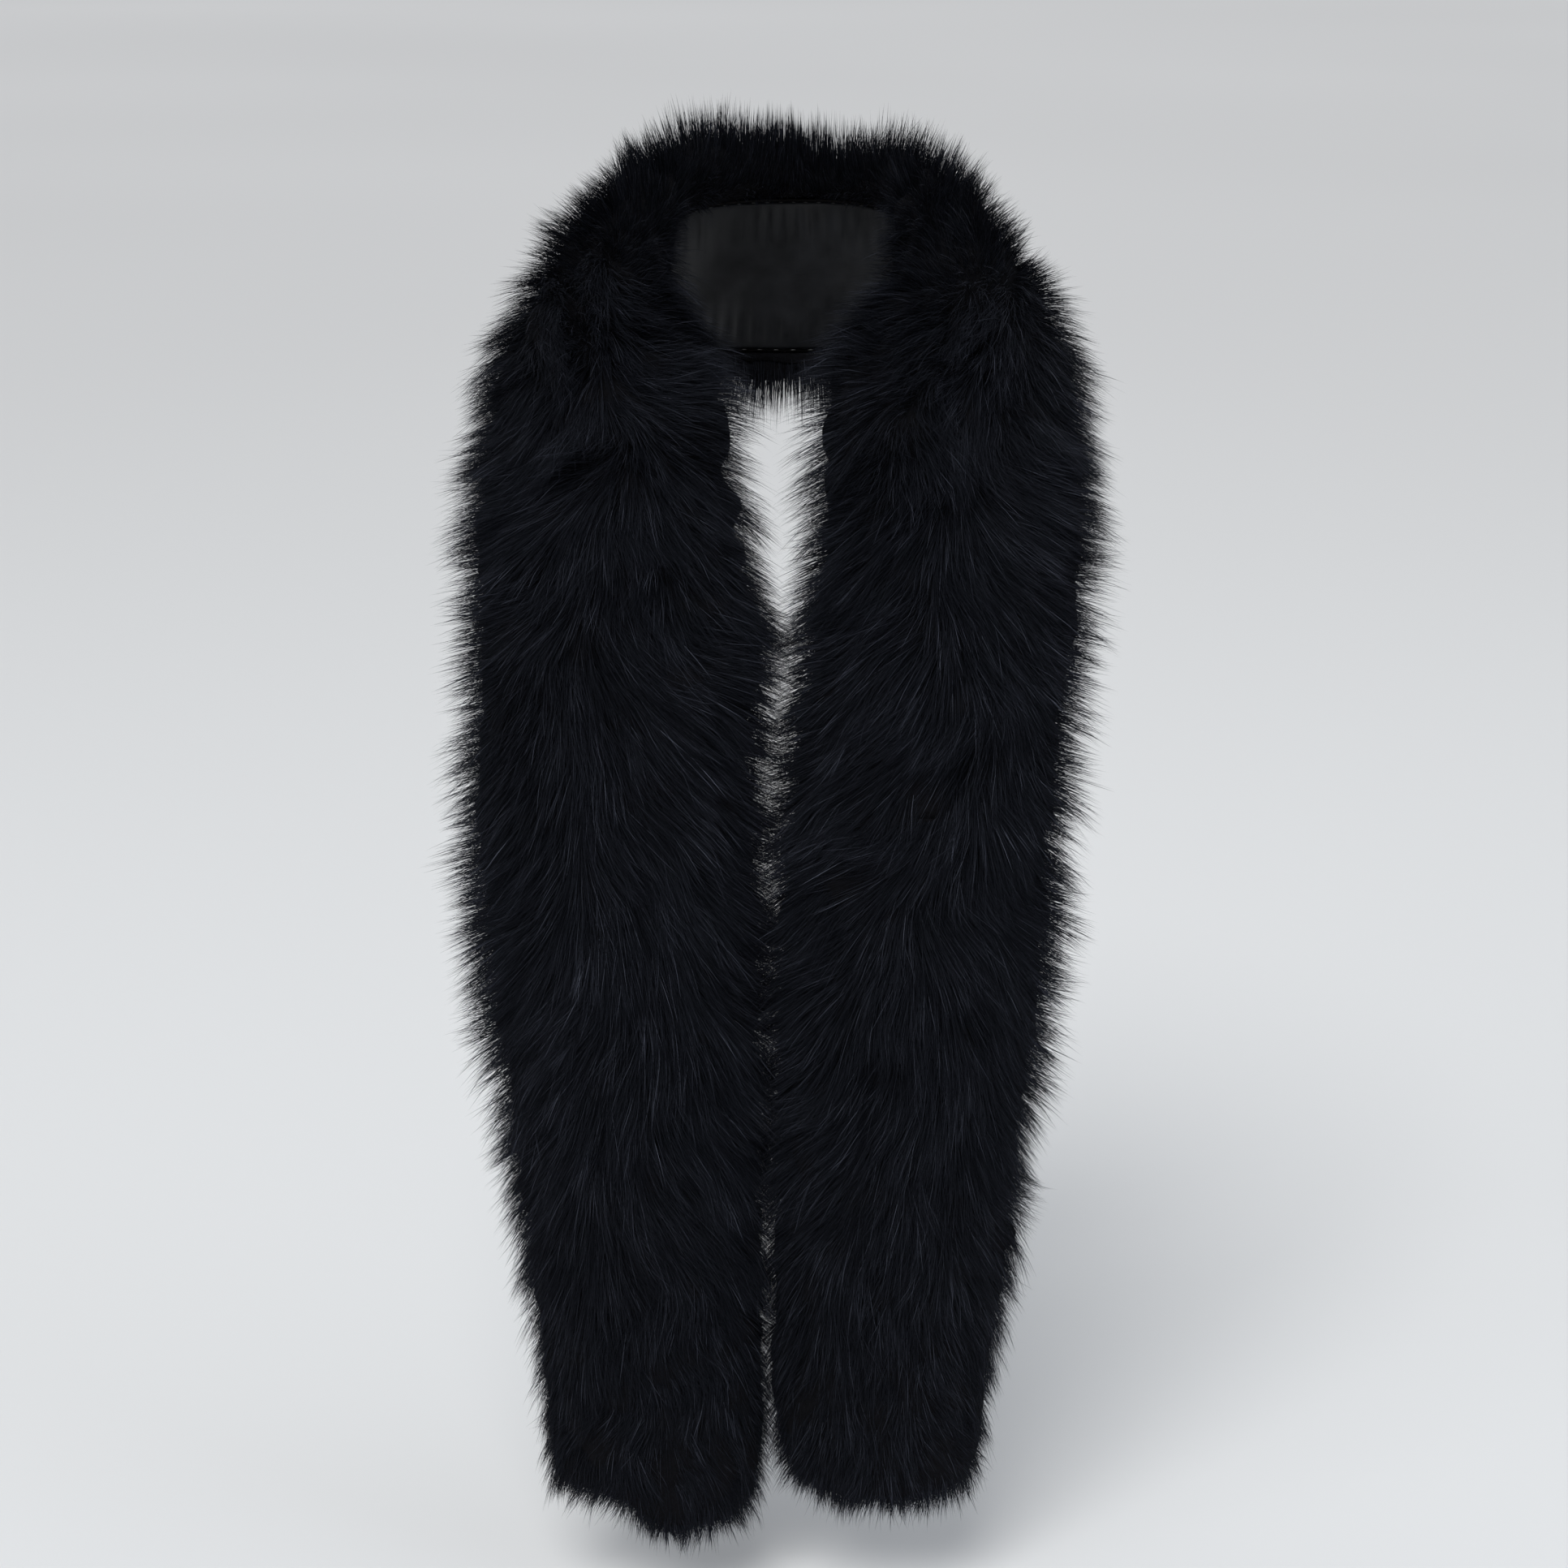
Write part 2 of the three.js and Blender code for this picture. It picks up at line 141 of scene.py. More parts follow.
def catmull_rom(points):
    """Dense samples of the centripetal curve through the points."""
    padded = np.vstack([2 * points[0] - points[1], points, 2 * points[-1] - points[-2]])
    t = np.linspace(0, 1, SAMPLES_PER_POINT, endpoint=False)[:, None]
    runs = []
    for p0, p1, p2, p3 in zip(padded, padded[1:], padded[2:], padded[3:]):
        gaps = [math.sqrt(np.linalg.norm(b - a)) for a, b in ((p0, p1), (p1, p2), (p2, p3))]
        middle = gaps[1] or 1.0  # the way across doesn't change where the sides hang straight
        first, last = gaps[0] or middle, gaps[2] or middle
        leave = (p1 - p0) / first - (p2 - p0) / (first + middle) + (p2 - p1) / middle
        arrive = (p2 - p1) / middle - (p3 - p1) / (middle + last) + (p3 - p2) / last
        leave, arrive = leave * middle, arrive * middle
        cubic = 2 * p1 - 2 * p2 + leave + arrive
        square = -3 * p1 + 3 * p2 - 2 * leave - arrive
        runs.append(((cubic * t + square) * t + leave) * t + p1)
    return np.vstack([*runs, points[-1:]])


centres = catmull_rom(line_points)
across_ways = catmull_rom(line_across)
steps = np.linalg.norm(np.diff(centres, axis=0), axis=1)
alongs = np.concatenate([[0], np.cumsum(steps)])
nape_index = len(left_points) * SAMPLES_PER_POINT
alongs -= alongs[nape_index]
tangents = np.gradient(centres, alongs, axis=0)
tangents /= np.linalg.norm(tangents, axis=1, keepdims=True)
across_ways -= (across_ways * tangents).sum(1, keepdims=True) * tangents
across_ways /= np.linalg.norm(across_ways, axis=1, keepdims=True)
up_ways = np.cross(tangents, across_ways)
LEFT_END = alongs[0] + PAST_END
RIGHT_END = alongs[-1] - PAST_END
print("skins from", round(LEFT_END, 3), "to", round(RIGHT_END, 3), "m along the line")


# %% From the bench to the neck
def on_line(table, along):
    return np.stack([np.interp(along, alongs, table[:, i]) for i in range(3)], axis=-1)


def frame_at(along):
    """For each length along the boa: the line's place, the way across, the way up and the way along."""
    return tuple(on_line(t, along) for t in (centres, across_ways, up_ways, tangents))


def along_at(side, height):
    """The length along the boa where one side has fallen to a height."""
    half = slice(nape_index, None) if side > 0 else slice(nape_index, None, -1)
    return float(np.interp(-height, -centres[half, 2], alongs[half]))


ROUNDING = 0.042  # length over which an end narrows
PILE_TIP = 0.017
END_WIDTH_SHARE = 0.62


def to_end(along):
    return np.minimum(along - LEFT_END, RIGHT_END - along)


def narrowing(along):
    into = np.clip((ROUNDING - to_end(along)) / (ROUNDING + PILE_TIP), 0, 1)
    return END_WIDTH_SHARE + (1 - END_WIDTH_SHARE) * np.sqrt(1 - into**2)


OUTER_LOBE, INNER_LOBE = -0.009, 0.010  # how far the left end's two corners fall below its middle
LOBE_FROM, LOBE_TO = -0.014, 0.022  # across the strip, where one corner's fall turns into the other's
RIGHT_FALL = 0.008
LOBE_STRETCH = 0.080


def slanted(flat):
    """Lengths along the boa once the left end is cut on a slant and the right end is let down."""
    outer = smooth_step(flat[:, 0], LOBE_FROM, LOBE_TO)
    fall = INNER_LOBE + (OUTER_LOBE - INNER_LOBE) * outer
    left = fall * (1 - smooth_step(flat[:, 2] - LEFT_END, 0, LOBE_STRETCH))
    right = RIGHT_FALL * (1 - smooth_step(RIGHT_END - flat[:, 2], 0, LOBE_STRETCH))
    return flat[:, 2] - left + right


def hang(flat):
    """Bench coordinates (x across, y up, z along) to places on the neck."""
    along = slanted(flat)
    centre, across, up, _ = frame_at(along)
    return centre + across * (flat[:, :1] * narrowing(along)[:, None]) + up * flat[:, 1:2]


lining_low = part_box("lining_left_lower")[0]
foot = hang(np.array([[0.0, 0.0, LEFT_END]]))[0]
print("left end at", foot.round(4), "and the frame's lining ends at", round(lining_low.z, 4))

# %% [markdown]
# ## Where the boa bends
# A side swings out from the neck at the chest, and its lower half lifts forwards. Cloth and fur bend
# smoothly over such a hinge; here only the collar's pieces ride on a body, and the others keep their place in
# the mesh.

# %% Bends and sections
sides = {"left": -1, "right": 1}
SWING_FROM, SWING_TO = -0.155, -0.300  # heights between which the collar turns into a side
LIFT_FROM, LIFT_TO = -0.380, -0.480
NAPE_SECTION = 0.081
CHEST_SECTION = 0.378
HIP_SECTION = 0.594


def bend_points(side, start, end):
    x = float(on_line(centres, np.array([along_at(side, start)]))[0, 0])
    return (x, -CHEST_DEPTH, start), (x, -CHEST_DEPTH, end)


def bends_at_swing(piece, hand):
    start, end = bend_points(sides[hand], SWING_FROM, SWING_TO)
    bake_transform(piece)


def bends_at_lift(piece, hand):
    start, end = bend_points(sides[hand], LIFT_FROM, LIFT_TO)
    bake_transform(piece)


def follow(piece, place):
    """Joins a piece of the collar to the collar's body; any other piece only has its transform baked into its
    mesh.
    """
    hand = place.split("_")[0]
    if place in ("nape", "collar"):
        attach(piece, "collar")
    elif place.endswith(("shoulder", "chest", "upper")):
        bends_at_swing(piece, hand)
    else:
        bends_at_lift(piece, hand)


sections = {"nape": (-NAPE_SECTION, NAPE_SECTION)}
layers = {"collar": (along_at(-1, SWING_FROM), along_at(1, SWING_FROM))}
for hand, side in sides.items():
    tip = RIGHT_END if side > 0 else LEFT_END
    swing, lift = along_at(side, SWING_FROM), along_at(side, LIFT_FROM)
    marks = [side * NAPE_SECTION, swing, side * CHEST_SECTION, lift, side * HIP_SECTION, tip]
    for place, near, far in zip(("shoulder", "chest", "waist", "hip", "end"), marks, marks[1:]):
        sections[f"{hand}_{place}"] = (min(near, far), max(near, far))
    layers[f"{hand}_upper"] = (min(swing, lift), max(swing, lift))
    layers[f"{hand}_lower"] = (min(lift, tip), max(lift, tip))
print({place: [round(v, 3) for v in ends] for place, ends in sections.items()})

# %% [markdown]
# ## Making a bench piece
# Everything but the hairs is a long extrusion: draw the cross-section once, then pull it along the strip
# with `extrude_edge_only`, one short step after another. Short steps matter, because a long face can't
# bend round the neck. A cross-section that is a loop gets a cap at each end, and an open one makes a sheet.

# %% Pull a cross-section along the strip
def stations(start, end, step):
    return np.linspace(start, end, max(2, round((end - start) / step) + 1))


def pulled(outline, places, loop):
    bm = bmesh.new()
    ring = [bm.verts.new((x, y, places[0])) for x, y in outline]
    first = [bm.edges.new(pair) for pair in zip(ring, ring[1:])]
    if loop:
        first.append(bm.edges.new((ring[-1], ring[0])))
    edges = first
    for last, here in zip(places, places[1:]):
        made = bmesh.ops.extrude_edge_only(bm, edges=edges)["geom"]
        verts = {g for g in made if isinstance(g, bmesh.types.BMVert)}
        edges = [g for g in made if isinstance(g, bmesh.types.BMEdge) and verts.issuperset(g.verts)]
        bmesh.ops.translate(bm, vec=(0, 0, here - last), verts=list(verts))
    if loop:
        for end in (first, edges):
            bmesh.ops.contextual_create(bm, geom=end)
        bmesh.ops.recalc_face_normals(bm, faces=bm.faces[:])
    return bm


def places_of(mesh):
    flat = np.empty(len(mesh.vertices) * 3, np.float32)
    mesh.vertices.foreach_get("co", flat)
    return flat.reshape(-1, 3).astype(float)


BENCH_MAP = "Bench"


def finished(bm, name, material, shape=lambda flat: flat):
    """Lays the bench places down as a UV map in metres, shapes the piece and hangs it."""
    bench = bm.loops.layers.uv.new(BENCH_MAP)
    for face in bm.faces:
        for loop in face.loops:
            loop[bench].uv = (loop.vert.co.x, loop.vert.co.z)
        face.smooth = True
    mesh = bpy.data.meshes.new(name)
    bm.to_mesh(mesh)
    bm.free()
    mesh.vertices.foreach_set("co", hang(shape(places_of(mesh))).astype(np.float32).ravel())
    mesh.materials.append(material)
    mesh.update()
    piece = bpy.data.objects.new(name, mesh)
    bpy.context.scene.collection.objects.link(piece)
    return piece


# %% [markdown]
# ## Materials
# All of them are built from nodes on the Principled shader. A number that is the same all over a surface
# sits on the shader's own socket. Only what really changes over the surface, such as colour or a weave,
# comes through nodes.

# %% Node helpers
def new_material(name, **sockets):
    made = bpy.data.materials.new(name)
    made.use_nodes = True
    shader = made.node_tree.nodes["Principled BSDF"]
    for socket, value in sockets.items():
        shader.inputs[socket.replace("_", " ")].default_value = value
    return made, shader


def node(material, kind, settings=None, **inputs):
    made = material.node_tree.nodes.new("ShaderNode" + kind)
    for key, value in (settings or {}).items():
        setattr(made, key, value)
    for key, value in inputs.items():
        socket = made.inputs[key.replace("_", " ")]
        if isinstance(value, bpy.types.NodeSocket):
            material.node_tree.links.new(value, socket)
        else:
            socket.default_value = value
    return made


def ramp(material, factor, *stops):
    made = node(material, "ValToRGB", Fac=factor)
    elements = made.color_ramp.elements
    while len(elements) < len(stops):
        elements.new(1.0)
    for element, (position, colour) in zip(elements, stops):
        element.position = position
        element.color = (*colour, 1) if len(colour) == 3 else colour
    return made.outputs["Color"]


def grey(value):
    return (value, value, value)


def link(material, output, socket):
    material.node_tree.links.new(output, socket)


# %% Guard hair
HAIR_MAP = "OFBake"  # u is a hair's tone and v runs from its root to its tip
hair, shader = new_material("dyed_guard_hair", Specular_IOR_Level=0.20)
shader.inputs["Specular Tint"].default_value = (0.72, 0.80, 1.0, 1)
shader.inputs["Sheen Weight"].default_value = 0.03
shader.inputs["Sheen Roughness"].default_value = 0.45
shader.inputs["Sheen Tint"].default_value = (0.62, 0.70, 0.95, 1)
along_hair = node(hair, "SeparateXYZ", Vector=node(hair, "UVMap", {"uv_map": HAIR_MAP}).outputs["UV"])
# Base colour by tone: near-black for most hairs, and towards the pale end a painted sheen, a lighter
# blue-grey that stands in for highlights on black hair.
dye_and_sheen = ramp(
    hair,
    along_hair.outputs["X"],
    (0.0, (0.0016, 0.0016, 0.0025)),
    (0.45, (0.0036, 0.0037, 0.0058)),
    (0.90, (0.0620, 0.0665, 0.0880)),
)
# Along each hair: painted shade darkens the root, which lies buried in the coat, and the painted sheen is
# kept to the tip.
root_shade_tip_sheen = ramp(hair, along_hair.outputs["Y"], (0.0, grey(0.25)), (0.62, grey(0.50)), (0.90, grey(1.0)))
dye_sheen_and_shade = node(hair, "Mix", {"data_type": "RGBA", "blend_type": "MULTIPLY"})
dye_sheen_and_shade.inputs["Factor"].default_value = 1.0
link(hair, dye_and_sheen, dye_sheen_and_shade.inputs["A"])
link(hair, root_shade_tip_sheen, dye_sheen_and_shade.inputs["B"])
link(hair, dye_sheen_and_shade.outputs["Result"], shader.inputs["Base Color"])
gloss = ramp(hair, along_hair.outputs["X"], (0.0, grey(0.85)), (0.45, grey(0.66)), (0.90, grey(0.34)))
link(hair, gloss, shader.inputs["Roughness"])

# %% Underfur
underfur, shader = new_material("crimped_underfur", Roughness=0.95, Specular_IOR_Level=0.08)
place = node(underfur, "TexCoord").outputs["Object"]
wool = node(underfur, "TexNoise", Vector=place, Scale=420.0, Detail=6.0, Roughness=0.7)
wool_dark, wool_pale = (0.0016, 0.0016, 0.0020), (0.0052, 0.0052, 0.0070)
wool_colour = ramp(underfur, wool.outputs["Fac"], (0.3, wool_dark), (0.8, wool_pale))
link(underfur, wool_colour, shader.inputs["Base Color"])
crimp = node(underfur, "Bump", Height=wool.outputs["Fac"], Strength=0.6, Distance=0.002)
link(underfur, crimp.outputs["Normal"], shader.inputs["Normal"])

# %% Satin lining
satin, shader = new_material("dark_satin", Specular_IOR_Level=0.35)
shader.inputs["Anisotropic"].default_value = 0.45
bench = node(satin, "UVMap", {"uv_map": BENCH_MAP}).outputs["UV"]
warp = node(satin, "TexWave", {"bands_direction": "X"}, Vector=bench, Scale=520.0, Distortion=1.2)
slub = node(satin, "TexNoise", Vector=bench, Scale=70.0, Detail=4.0)
satin_dark, satin_pale = (0.006, 0.0064, 0.0076), (0.013, 0.0137, 0.0162)
satin_colour = ramp(satin, slub.outputs["Fac"], (0.35, satin_dark), (0.7, satin_pale))
link(satin, satin_colour, shader.inputs["Base Color"])
satin_gloss = ramp(satin, slub.outputs["Fac"], (0.3, grey(0.34)), (0.75, grey(0.48)))
link(satin, satin_gloss, shader.inputs["Roughness"])
weave = node(satin, "Bump", Height=warp.outputs["Fac"], Strength=0.12, Distance=0.0004)
link(satin, weave.outputs["Normal"], shader.inputs["Normal"])

# %% Skin, wadding, tape and thread
suede, shader = new_material("dyed_suede_skin", Roughness=0.9, Specular_IOR_Level=0.2)
place = node(suede, "TexCoord").outputs["Object"]
grain = node(suede, "TexVoronoi", Vector=place, Scale=900.0)
mottle = node(suede, "TexNoise", Vector=place, Scale=45.0, Detail=5.0)
suede_colour = ramp(suede, mottle.outputs["Fac"], (0.3, (0.008, 0.007, 0.007)), (0.75, (0.018, 0.016, 0.015)))
link(suede, suede_colour, shader.inputs["Base Color"])
pores = node(suede, "Bump", Height=grain.outputs["Distance"], Strength=0.35, Distance=0.0004)
link(suede, pores.outputs["Normal"], shader.inputs["Normal"])

batting, shader = new_material("cotton_wadding", Roughness=1.0, Specular_IOR_Level=0.1)
place = node(batting, "TexCoord").outputs["Object"]
tufts = node(batting, "TexNoise", Vector=place, Scale=160.0, Detail=8.0, Roughness=0.75)
batting_colour = ramp(batting, tufts.outputs["Fac"], (0.3, (0.36, 0.35, 0.32)), (0.7, (0.60, 0.58, 0.54)))
link(batting, batting_colour, shader.inputs["Base Color"])
loft = node(batting, "Bump", Height=tufts.outputs["Fac"], Strength=0.8, Distance=0.002)
link(batting, loft.outputs["Normal"], shader.inputs["Normal"])

twill, shader = new_material("black_twill_tape", Roughness=0.85, Specular_IOR_Level=0.25)
bench = node(twill, "UVMap", {"uv_map": BENCH_MAP}).outputs["UV"]
ribs = node(twill, "TexWave", {"bands_direction": "DIAGONAL"}, Vector=bench, Scale=420.0)
twill_colour = ramp(twill, ribs.outputs["Fac"], (0.2, grey(0.006)), (0.8, grey(0.016)))
link(twill, twill_colour, shader.inputs["Base Color"])
rib_height = node(twill, "Bump", Height=ribs.outputs["Fac"], Strength=0.5, Distance=0.0003)
link(twill, rib_height.outputs["Normal"], shader.inputs["Normal"])

thread, shader = new_material("lining_thread", Roughness=0.45)
place = node(thread, "TexCoord").outputs["Object"]
twist = node(thread, "TexNoise", Vector=place, Scale=1500.0)
thread_colour = ramp(thread, twist.outputs["Fac"], (0.3, grey(0.012)), (0.7, grey(0.035)))
link(thread, thread_colour, shader.inputs["Base Color"])
print(len(bpy.data.materials), "materials")

# %% [markdown]
# ## Skins
# The boa's body is a row of narrow pelts, each curved over the wadding like a shallow arch. A pelt is a
# thin sheet, so its cross-section is an open arc, pulled along and given its thickness by `solidify`.

# %% The pelts
CROWN = 0.016  # height of the skins over the lining
SKIN = 0.0014
SKIN_STEP = 0.006
SEAM_GAP = 0.0002
ARCH_PARTS = 24


def arch(half_width, height, parts=ARCH_PARTS):
    turns = np.linspace(0, math.pi, parts + 1)
    return [(half_width * math.cos(t), height * math.sin(t)) for t in turns]


def pelt(place, start, end):
    middle = arch(HALF_WIDTH - SKIN / 2, CROWN - SKIN / 2)
    bm = pulled(middle, stations(start + SEAM_GAP, end - SEAM_GAP, SKIN_STEP), loop=False)
    bmesh.ops.recalc_face_normals(bm, faces=bm.faces[:])
    bmesh.ops.solidify(bm, geom=bm.faces[:], thickness=SKIN)
    piece = finished(bm, f"skin_{place}", suede)
    follow(piece, place)
    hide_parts(f"hide_{place}")
    return piece


for place, (start, end) in sections.items():
    pelt(place, start, end)
print(len(sections), "pelts")

# %% [markdown]
# ## Wadding and neck tape
# Under the pelts is a roll of wadding that keeps the boa plump, and along the inner edge of the collar a
# flat tape stops the neck from stretching. Neither shows when the boa is whole. The roll is a closed loop
# pulled along, with shallow waves pushed into it so that it looks hand-laid and not machined. Its flat base
# needs points across it and short steps too, or it would cut the corner where the strip twists over the
# shoulder and come out through the lining.

# %% Slow waves over the strip
WAVE_COUNT = 7


def waves(along, around, size, seed):
    """A smooth, repeatable wander between about -1 and 1, over lengths of about size."""
    rng = np.random.default_rng(seed)
    total = 0
    for _ in range(WAVE_COUNT):
        turn, phase = rng.uniform(0, 2 * np.pi, 2)
        pace = 2 * np.pi / (size * rng.uniform(0.7, 1.6))
        total = total + np.cos(pace * (math.cos(turn) * along + math.sin(turn) * around) + phase)
    return total / math.sqrt(WAVE_COUNT)


LIE_GAP = 0.0004  # between layers that lie on each other
TAPE = 0.0006
WADDING_BASE = TAPE + 2 * LIE_GAP
WADDING_SHORT = 0.004  # the rolls stop short of the skins at the two free ends
WADDING_STEP = 0.003
LUMP_DEPTH, LUMP_LENGTH = 0.05, 0.045


def hand_laid(flat):
    laid = flat.copy()
    lump = 1 - LUMP_DEPTH * (1 + waves(flat[:, 2], flat[:, 0], LUMP_LENGTH, seed=3))
    laid[:, 1] = WADDING_BASE + (flat[:, 1] - WADDING_BASE) * lump
    return laid


for place, (start, end) in layers.items():
    inset = SKIN + LIE_GAP
    roof = [(x, max(y, WADDING_BASE)) for x, y in arch(HALF_WIDTH - inset, CROWN - inset)]
    base = [(x, WADDING_BASE) for x in np.linspace(roof[-1][0], roof[0][0], ARCH_PARTS + 1)[1:-1]]
    start, end = max(start, LEFT_END + WADDING_SHORT), min(end, RIGHT_END - WADDING_SHORT)
    bm = pulled(roof + base, stations(start, end, WADDING_STEP), loop=True)
    piece = finished(bm, f"padding_{place}", batting, hand_laid)
    follow(piece, place)
    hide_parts(f"wadding_{place}")

LINING_INSET = 0.004
HEM = HALF_WIDTH - LINING_INSET
TAPE_WIDTH = 0.010
TAPE_REACH = 0.108
TAPE_STEP = 0.006
TAPE_POINTS = 7
tape_line = [(x, LIE_GAP + TAPE / 2) for x in np.linspace(-HEM, TAPE_WIDTH - HEM, TAPE_POINTS)]
bm = pulled(tape_line, stations(-TAPE_REACH, TAPE_REACH, TAPE_STEP), loop=False)
bmesh.ops.solidify(bm, geom=bm.faces[:], thickness=TAPE / 2)
piece = finished(bm, "stay_tape", twill)
follow(piece, "collar")
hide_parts("neck_stay_tape")
print(len(layers), "rolls of wadding and a tape")

# %% [markdown]
# ## Satin lining
# The lining is slip-stitched along both edges, so it is pulled into small puckers there and ripples where
# the strip turns round the neck. A cloth simulation would give much the same folds at far greater cost,
# because the stitches hold the satin every few millimetres, so the puckers are moved into the sheet.

# %% Lining with puckers and stitches
STITCH_STEP = 0.008
STITCH_RADIUS = 0.00035
STITCH_STRETCH = 4.5
HEM_EDGE = HALF_WIDTH - SKIN - 0.0006  # the hem is rolled out almost to the skins' edge
LINING_STEP = 0.002
LINING_POINTS = 26
PUCKER, RIPPLE, SLACK = 0.0005, 0.0010, 0.0012
RIPPLE_LENGTH = 0.030


def puckered(flat):
    laid = flat.copy()
    across, along = flat[:, 0], flat[:, 2]
    near_hem = np.clip(np.abs(across) / HEM, 0, 1) ** 3
    pull = np.cos(2 * np.pi * along / STITCH_STEP) * near_hem * (1 - near_hem) * 4
    ripple = waves(along, 0.35 * across, RIPPLE_LENGTH, seed=11) * (1 - near_hem)
    slack = np.clip(1 - near_hem, 0, 1) * SLACK
    laid[:, 1] -= np.maximum(0, PUCKER * pull + RIPPLE * ripple + slack)
    return laid


def stitch_row(bm, start, end):
    """Small stitches along both hems, each a tiny stretched ball of thread."""
    for edge in (-1, 1):
        for along in np.arange(start + STITCH_STEP / 2, end, STITCH_STEP):
            made = bmesh.ops.create_icosphere(bm, subdivisions=1, radius=STITCH_RADIUS)
            bmesh.ops.scale(bm, vec=(1, 1, STITCH_STRETCH), verts=made["verts"])
            bmesh.ops.translate(bm, vec=(edge * HEM_EDGE, -0.0007, along), verts=made["verts"])


for place, (start, end) in layers.items():
    hem_roll = [(HEM - 0.003, 0.0001), (HEM_EDGE, -0.0001), (HEM_EDGE + 0.0002, -0.0004), (HEM, -0.0007)]
    flat_part = [(x, -0.0006) for x in np.linspace(HEM - 0.002, 0.002 - HEM, LINING_POINTS)]
    outline = hem_roll + flat_part + [(-x, y) for x, y in hem_roll[::-1]]
    bm = pulled(outline, stations(start, end, LINING_STEP), loop=False)
    bmesh.ops.recalc_face_normals(bm, faces=bm.faces[:])
    piece = finished(bm, f"satin_{place}", satin, puckered)
    follow(piece, place)
    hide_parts(f"lining_{place}")
    stitches = bmesh.new()
    stitch_row(stitches, start, end)
    sewn = finished(stitches, f"hem_stitches_{place}", thread)
    follow(sewn, place)
print(len(layers), "lengths of lining")

# %% [markdown]
# ## Fur: the underfur
# Long fur is two coats. The underfur is a dense woolly layer that hides the skin and gives the boa its
# body, and the guard hairs stand out past it. Growing every underfur hair would cost millions of faces
# that nobody sees, so the underfur is one soft closed body, about half as deep as the fur.

# %% How long the fur is
WRAP = math.radians(65)  # how far the fur wraps behind an edge
BACK_SHARE = 0.42  # length of the fur there
UNDER_TIP = 0.008  # the underfur closes this far past the skins
UNDER_AT_END, UNDER_LESS = 0.66, 0.24  # its share of the fur's depth at the ends, and how much less inside
THINNEST = 0.002


def skin_place(around):
    turn = np.clip(around, 0, np.pi)
    return HALF_WIDTH * np.cos(turn), CROWN * np.sin(turn)


def pile(along, around):
    """Length of the fur at a place, with around from 0 at the outer edge to pi at the neck's edge."""
    behind = np.maximum(np.maximum(-around, around - np.pi), 0)
    wrapped = 1 - (1 - BACK_SHARE) * smooth_step(behind, 0, WRAP)
    return PILE * pile_share(to_end(along)) * wrapped


def under_share(along):
    return UNDER_AT_END - UNDER_LESS * smooth_step(to_end(along), 0, END_PILE_STRETCH)


# A coat never lies evenly: it is fuller in some places and flatter in others. Whole millimetres that are
# added to the underfur and the hairs, by metres along the boa: at the outer edge, on the front and at the
# neck's edge.
BRUSHED = np.array([
    (-0.77, -3, 0, 8), (-0.70, -4, 0, 6), (-0.65, -5, 0, 8), (-0.60, -5, 0, 10), (-0.55, -4, 0, 13),
    (-0.50, -2, 0, 15), (-0.45, 2, 0, 15), (-0.40, 5, 0, 15), (-0.36, 5, 0, 11), (-0.32, 2, 0, 20),
    (-0.29, 0, 0, 22), (-0.24, 0, 0, 9), (-0.20, -2, 0, 10), (-0.17, -4, 0, 5), (-0.14, -2, 4, 6),
    (-0.11, 0, 9, 10), (-0.08, 0, 8, 16), (-0.04, 0, 1, 16), (0.00, 0, -1, 9), (0.035, 0, -2, 3),
    (0.055, 0, 0, 15), (0.08, 0, 7, 14), (0.11, 0, 10, 12), (0.14, -3, 4, 10), (0.17, -1, 0, 14),
    (0.20, 2, 0, 12), (0.24, 2, 0, 10), (0.28, -1, 0, 13), (0.32, -6, 0, 15), (0.36, -6, 0, 17),
    (0.40, -8, 0, 20), (0.45, -4, 0, 18), (0.50, -3, 0, 14), (0.55, -3, 0, 8), (0.60, 1, 0, 5),
    (0.65, 0, 0, 4), (0.70, -3, 0, 3), (0.745, 1, 0, 0),
])


FUR_RADIUS = 0.055  # turns an angle round the strip into a distance over the fur
HUMMOCK, HUMMOCK_LENGTH = 0.0021, 0.045
TUSSOCK, TUSSOCK_LENGTH = 0.0012, 0.019
EDGE_SHARPNESS = 1.3
LESS_BEHIND = 0.8


def tousled(along, around):
    """Handling leaves the coat in soft hummocks a few centimetres across, and smaller ones on those."""
    arc = FUR_RADIUS * around
    large = HUMMOCK * waves(along, arc, HUMMOCK_LENGTH, seed=51)
    return large + TUSSOCK * waves(along, arc, TUSSOCK_LENGTH, seed=52)


def brushed(along, around):
    outer, front, inner = (np.interp(along, BRUSHED[:, 0], BRUSHED[:, i]) for i in (1, 2, 3))
    edge = np.cos(np.clip(around, 0, np.pi))
    at_edge = np.abs(edge) ** EDGE_SHARPNESS
    behind = smooth_step(np.maximum(-around, around - np.pi), 0, WRAP)
    lift = 0.001 * (front + (np.where(edge > 0, outer, inner) - front) * at_edge) * (1 - LESS_BEHIND * behind)
    return lift + tousled(along, around) * pile_share(to_end(along)) ** 2


def underfur_height(along, around):
    return np.maximum(pile(along, around) * under_share(along) + brushed(along, around), THINNEST)


def closing(along):
    past = np.clip(-to_end(along) / UNDER_TIP, 0, 1)
    return np.sqrt(1 - past**2)


def over_skin(along, around, lift):
    """Bench x and y of a place in the fur, lift above the skin."""
    x, y = skin_place(around)
    close = closing(along)
    return (x + lift * np.cos(around)) * close, (y + lift * np.sin(around)) * close


# %% The underfur's body
OUTER, INNER = 1.0, 0.0  # the two faces of the underfur, on the bench
WOOL_ROUGHNESS, WOOL_LENGTH, WOOL_RADIUS = 0.10, 0.02, 0.05
HOLLOW_STRETCH = 0.003
UNDERFUR_STEP = 0.004
OUTER_POINTS, INNER_POINTS = 56, 14
UNDERFUR_COLUMN, UNDERFUR_COLUMN_WIDTH = 0.955, 0.04  # where the underfur's map starts, past the hairs'


